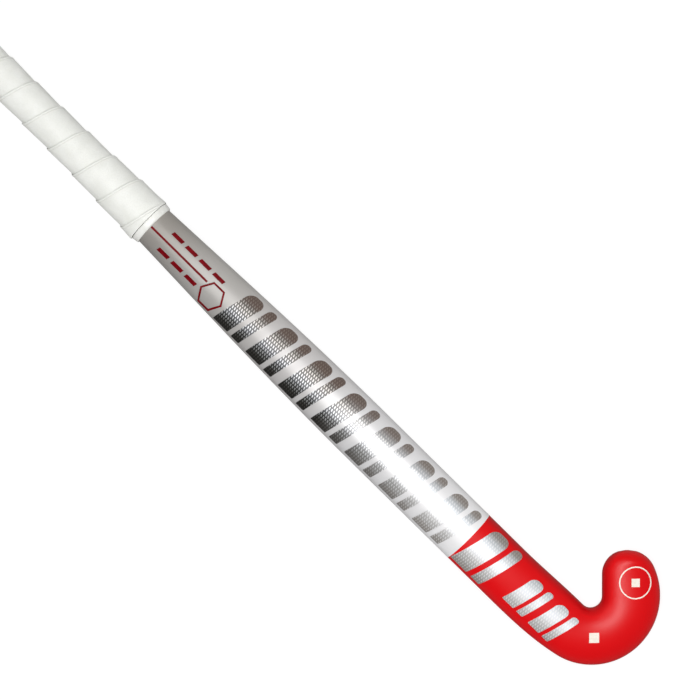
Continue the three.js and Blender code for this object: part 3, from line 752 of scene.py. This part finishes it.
def wrap_outset(s, from_edge):
    """Distance of the ribbon's inner face from the shell."""
    rise = WRAP_RISE * np.clip(1 - from_edge / WRAP_WIDTH, 0, 1) ** 1.5
    crown = WRAP_CROWN * np.sin(math.pi * np.clip(from_edge / WRAP_PITCH, 0, 1))
    bead = WRAP_BEAD * np.exp(-((from_edge - WRAP_BEAD_AT) / WRAP_BEAD_SPREAD) ** 2)
    return WRAP_LOW + grip_base(s) + rise + crown + bead


def wrap_shares():
    """Places across the ribbon, closer together at its two edges."""
    seam = 1 - 0.12 * np.cos(np.linspace(0, math.pi / 2, 12)) ** 1.5
    return np.concatenate([np.linspace(0, 0.06, 4), np.linspace(0.1, 0.86, 14), seam])


def grip_wrap():
    """One ribbon wound from the butt to the tape, each turn over the edge of the last."""
    turns = wrap_turns()[:, None]
    upper = WRAP_SEAM + WRAP_PITCH * turns / (2 * math.pi)
    lower = np.maximum(upper - WRAP_WIDTH, GRIP_START)
    top = np.minimum(upper, SHELL_LENGTH - WRAP_END_GAP)
    s = mix(lower, top, wrap_shares())
    from_edge = upper - s
    to_end = np.minimum(s - lower, top - s)
    plump = np.sqrt(1 - (1 - np.clip(to_end / WRAP_EDGE_ROUND, 0.02, 1)) ** 2)
    middle = wrap_outset(s, from_edge) + WRAP_THICKNESS / 2
    half = plump * WRAP_THICKNESS / 2
    angle = (turns + math.pi / 2) % (2 * math.pi) - math.pi / 2
    angle = np.broadcast_to(angle, s.shape)
    over, under = (section(station(s), angle, middle + side * half)[0] for side in (1, -1))
    points = np.concatenate([over, under[:, ::-1]], 1)
    shares = np.concatenate([from_edge, from_edge[:, ::-1]], 1) / WRAP_WIDTH
    arc = np.broadcast_to(turns * WOUND_RADIUS, shares.shape)
    coords = np.stack([points[..., 0], arc, shares], -1)
    make_piece("grip_wrap", to_row(points), ring_faces(*shares.shape, False), coords,
               grip_leather(), "grip_tape", 60)


def finish_band():
    """The tape round the grip's lower end, with a lip turned under."""
    profile = [(0.0, 0.12), (0.0, 0.9), (0.25, 1.35), (1.4, 1.62), (3.6, 2.0), (5.4, 2.32),
               (6.0, 2.25), (6.25, 1.9), (6.25, 0.12)]
    s, outset = np.array(profile).T
    loft("finish_band", station(TAPE_START + s), around(64, 16), outset, tape_film(),
         "finishing_tape", looped=True, sharp=50)


def butt_cap():
    """The end cap: spigot, flange, rounded rim and a shallow ring in its flat top."""
    top = STICK_LENGTH
    under = SHELL_LENGTH + FIT_GAP
    profile = [(under - 16, -9.0), (under, -9.0), (under, 2.0), (under + 0.35, 2.2),
               (top - 2.4, 2.2), (top - 1.5, 1.95), (top - 0.7, 1.2), (top - 0.25, 0.3),
               (top, -1.0), (top, -4.0), (top - 0.5, -4.4), (top - 0.5, -5.6), (top, -6.0)]
    s, outset = np.array(profile).T
    material = rubber("cap_rubber", linear(214, 214, 208), linear(232, 232, 226))
    loft("butt_cap", station(s), around(64, 16), outset, material, "end_cap",
         sharp=35)


def bar(number, kind, centre, width, cover):
    """A slanted foil bar, square at the heel side and rounded off at the toe side."""
    half_shaft = float(half_width(centre))
    heel, toe = (cover + FOIL_HEEL_EXTRA) * half_shaft, (cover - FOIL_TOE_SHORT) * half_shaft
    y = mix(-heel, toe, (1 - np.cos(np.linspace(0, math.pi, 61))) / 2)
    half = np.full(y.shape, width / 2)
    toe_corner = min(FOIL_TOE_CORNER, FOIL_CORNER_SHARE * width)
    for corner, room in ((toe_corner, toe - y), (FOIL_HEEL_CORNER, y + heel)):
        tuck = np.maximum(0, corner - room)
        half = half - corner + np.sqrt(np.maximum(0, corner ** 2 - tuck ** 2))
    s = centre - FOIL_SLANT * y[:, None] + half[:, None] * np.linspace(-1, 1, 12)
    y = np.broadcast_to(y[:, None], s.shape).copy()
    film(f"foil_{kind}_{number}", s, y, FOIL, f"foil_bar_{kind}_{number}")


def foil_bars():
    """Pairs of a wide and a narrow bar, down the shaft and onto the head."""
    number = 1
    for start, pitch, pairs, cover in FOIL_ROWS:
        for i in range(pairs):
            edge = start - i * pitch
            narrow = edge - pitch * (FOIL_WIDE + FOIL_SLOT + FOIL_NARROW / 2)
            bar(number, "wide", edge - pitch * FOIL_WIDE / 2, pitch * FOIL_WIDE, cover)
            bar(number, "narrow", narrow, pitch * FOIL_NARROW, cover)
            number += 1


def strip(name, node, start, length, y, width, count, slant=0.0):
    """A red stripe or dash that runs down the stick from start."""
    along = np.linspace(start, start - length, count)
    across = y + np.linspace(-width / 2, width / 2, 5)
    s, y_grid = np.meshgrid(along, across, indexing="ij")
    film(name, s - slant * (y_grid - y), y_grid, RED_INK, node)


def outline(name, node, s, y, radius, width, corners, material):
    """The outline of a shape with equal sides."""
    angle = np.linspace(0, 2 * math.pi, 96, endpoint=False)
    half = math.pi / corners
    side = np.cos(half) / np.cos(angle % (2 * half) - half)
    reach = side[:, None] * np.linspace(radius - width, radius, 4)
    film(name, s + reach * np.cos(angle)[:, None], y + reach * np.sin(angle)[:, None],
         material, node, wrapped=True)


def diamond(name, node, s, y, reach):
    """A filled diamond in cream."""
    share = np.linspace(-1, 1, 12)
    a, b = np.meshgrid(share, share, indexing="ij")
    film(name, s + reach * (a + b) / 2, y + reach * (a - b) / 2, CREAM_INK, node)


def grip_marks():
    """The red stripe, the hexagon and the two rows of dashes below the grip."""
    strip("stripe_film", "red_stripe", TAPE_START - FIT_GAP, STRIPE_LENGTH, STRIPE_Y,
          STRIPE_WIDTH, 60)
    emblem_s = TAPE_START - EMBLEM_SETBACK
    flat_reach = EMBLEM_RADIUS * math.cos(math.pi / 6)
    emblem_y = flat_reach + EMBLEM_MARGIN - float(half_width(emblem_s))
    outline("hexagon_film", "hexagon_mark", emblem_s, emblem_y, EMBLEM_RADIUS, EMBLEM_WIDTH, 6,
            RED_INK)
    for row, (y, count) in enumerate(DASH_ROWS, 1):
        for i in range(count):
            start = TAPE_START - DASH_SETBACK - DASH_PITCH * i
            strip(f"dash_film_{row}_{i + 1}", f"dash_row_{row}_{i + 1}", start, DASH_LENGTH, y,
                  DASH_HEIGHT, 14, DASH_SLANT)


def head_marks():
    """The ring and the two diamonds on the head."""
    outline("toe_ring_film", "toe_ring", TOE_MARK_S, TOE_MARK_Y, TOE_RING_RADIUS,
            TOE_RING_WIDTH, 24, CREAM_INK)
    diamond("toe_diamond_film", "toe_diamond", TOE_MARK_S, TOE_MARK_Y, TOE_DIAMOND_REACH)
    diamond("tip_diamond_film", "tip_diamond", TIP_MARK_S, TIP_MARK_Y, TIP_DIAMOND_REACH)


def inner_looks():
    """Materials of the pieces inside the shell, whose CAD meshes stay as they are."""
    core = foam("core_foam", linear(196, 176, 128), linear(226, 208, 164))
    carbon = cloth_in_resin("bare_carbon", linear(24, 25, 27), linear(46, 47, 50))
    looks = {
        "head_core": core,
        "butt_plug": core,
        "grip_underlay": foam("underlay_foam", linear(206, 206, 198), linear(228, 228, 222)),
        "hook_reinforcement": cloth_in_resin("aramid", linear(176, 142, 40), linear(212, 176, 70)),
        "face_stiffener": carbon,
        "back_stiffener": carbon,
        "core_tube_toe_side": carbon,
        "core_tube_heel_side": carbon,
    }
    for name, material in looks.items():
        slots = frame["nodes"][name].data.materials
        slots.clear()
        slots.append(material)


stick_shell()
grip_wrap()
finish_band()
butt_cap()
foil_bars()
grip_marks()
head_marks()
inner_looks()


# ---- Floor, light and camera ------------------------------------------------------------------

FLOOR_REACH, FLOOR_DROP = 6.0, 0.0004    # metres
FLOOR_GLOW, FLOOR_GLOW_SEEN = 0.58, 0.27


def floor():
    """A pale matt floor that stays clear of reflections, so it reads as white paper."""
    a = FLOOR_REACH
    mesh = bpy.data.meshes.new("floor")
    mesh.from_pydata([(-a, -a, 0), (a, -a, 0), (a, a, 0), (-a, a, 0)], [], [(0, 1, 2, 3)])
    look = Look("pale_floor")
    colour = look.blend(look.noise(3.0, 2.0), (0.19, 0.19, 0.19, 1), (0.21, 0.21, 0.21, 1))
    seen = look.node("ShaderNodeLightPath").outputs["Is Camera Ray"]
    glow = look.math("MULTIPLY_ADD", seen, FLOOR_GLOW_SEEN, FLOOR_GLOW)
    look.set(Base_Color=colour, Roughness=0.9, Specular_IOR_Level=0.0)
    look.set(Emission_Color=(1, 1, 1, 1), Emission_Strength=glow)
    mesh.materials.append(look.material)
    plane = bpy.data.objects.new("floor", mesh)
    bpy.context.scene.collection.objects.link(plane)
    plane.location.z = -FLOOR_DROP
    plane.visible_glossy = False


MIRRORED_HEEL_SIDE, MIRRORED_TOE_SIDE = (0.06, 0.06, 0.065, 1), (0.32, 0.31, 0.30, 1)
ON_MATT_SURFACES, SEEN_DIRECTLY = (0.27, 0.27, 0.27, 1), (1, 1, 1, 1)


def world():
    """White to the eye, soft grey on matt surfaces, and darker beside the heel in reflections."""
    shade = bpy.data.worlds.new("studio")
    bpy.context.scene.world = shade
    shade.use_nodes = True
    tree = shade.node_tree

    def pick(factor, a, b):
        node = tree.nodes.new("ShaderNodeMix")
        node.data_type = "RGBA"
        tree.links.new(factor, node.inputs["Factor"])
        if isinstance(a, tuple):
            node.inputs["A"].default_value = a
        else:
            tree.links.new(a, node.inputs["A"])
        node.inputs["B"].default_value = b
        return node.outputs["Result"]

    parts = tree.nodes.new("ShaderNodeSeparateXYZ")
    direction = tree.nodes.new("ShaderNodeTexCoord").outputs["Generated"]
    tree.links.new(direction, parts.inputs[0])
    side = tree.nodes.new("ShaderNodeMapRange")
    side.inputs["From Min"].default_value = -0.9
    side.inputs["From Max"].default_value = 0.9
    tree.links.new(parts.outputs["Y"], side.inputs["Value"])
    path = tree.nodes.new("ShaderNodeLightPath").outputs
    light = pick(side.outputs["Result"], MIRRORED_HEEL_SIDE, MIRRORED_TOE_SIDE)
    light = pick(path["Is Diffuse Ray"], light, ON_MATT_SURFACES)
    light = pick(path["Is Camera Ray"], light, SEEN_DIRECTLY)
    tree.links.new(light, tree.nodes["Background"].inputs["Color"])


def soft_light(name, place, target, size, energy):
    """A rectangular lamp aimed at target. place, target and size are in metres."""
    data = bpy.data.lights.new(name, "AREA")
    data.shape = "RECTANGLE"
    data.size, data.size_y = size
    data.energy = energy
    lamp = bpy.data.objects.new(name, data)
    bpy.context.scene.collection.objects.link(lamp)
    lamp.location = place
    aim = Vector(target) - Vector(place)
    lamp.rotation_euler = aim.to_track_quat("-Z", "Y").to_euler()


# View: straight onto the back, shaft running down to the right
VIEW_S, VIEW_Y, VIEW_Z = 349.9, 41.5, 14.0
VIEW_WIDTH = 588.0
SHAFT_RIGHT, SHAFT_DOWN = 0.71157, 0.70262
LENS, SENSOR = 200.0, 36.0


def camera():
    """Looks along the normal of the stick's chord, far off with a long lens."""
    data = bpy.data.cameras.new("camera")
    data.lens = LENS
    data.sensor_width = SENSOR
    head, butt = (Vector(to_row(np.array([s, 0.0, 0.0]))) for s in (0.0, STICK_LENGTH))
    along = (head - butt).normalized()
    across = Vector(LAY_TURN @ np.array([0, 1.0, 0]))
    across = (across - along * across.dot(along)).normalized()
    out = along.cross(across)
    right = SHAFT_RIGHT * along + SHAFT_DOWN * across
    up = -SHAFT_DOWN * along + SHAFT_RIGHT * across
    distance = VIEW_WIDTH * MM * LENS / SENSOR
    place = Vector(to_row(np.array([VIEW_S, VIEW_Y, VIEW_Z]))) + out * distance
    eye = bpy.data.objects.new("camera", data)
    bpy.context.scene.collection.objects.link(eye)
    turn = Matrix((right, up, out)).transposed()
    eye.matrix_world = Matrix.Translation(place) @ turn.to_4x4()
    bpy.context.scene.camera = eye


floor()
world()
soft_light("key", place=(0.3, -0.2, 1.6), target=(0.3, 0, 0), size=(0.4, 1.5), energy=16)
soft_light("fill", place=(-0.5, -0.35, 2.4), target=(-0.3, 0, 0), size=(2.6, 2.2), energy=22)
camera()
bpy.context.scene.view_settings.view_transform = "Standard"
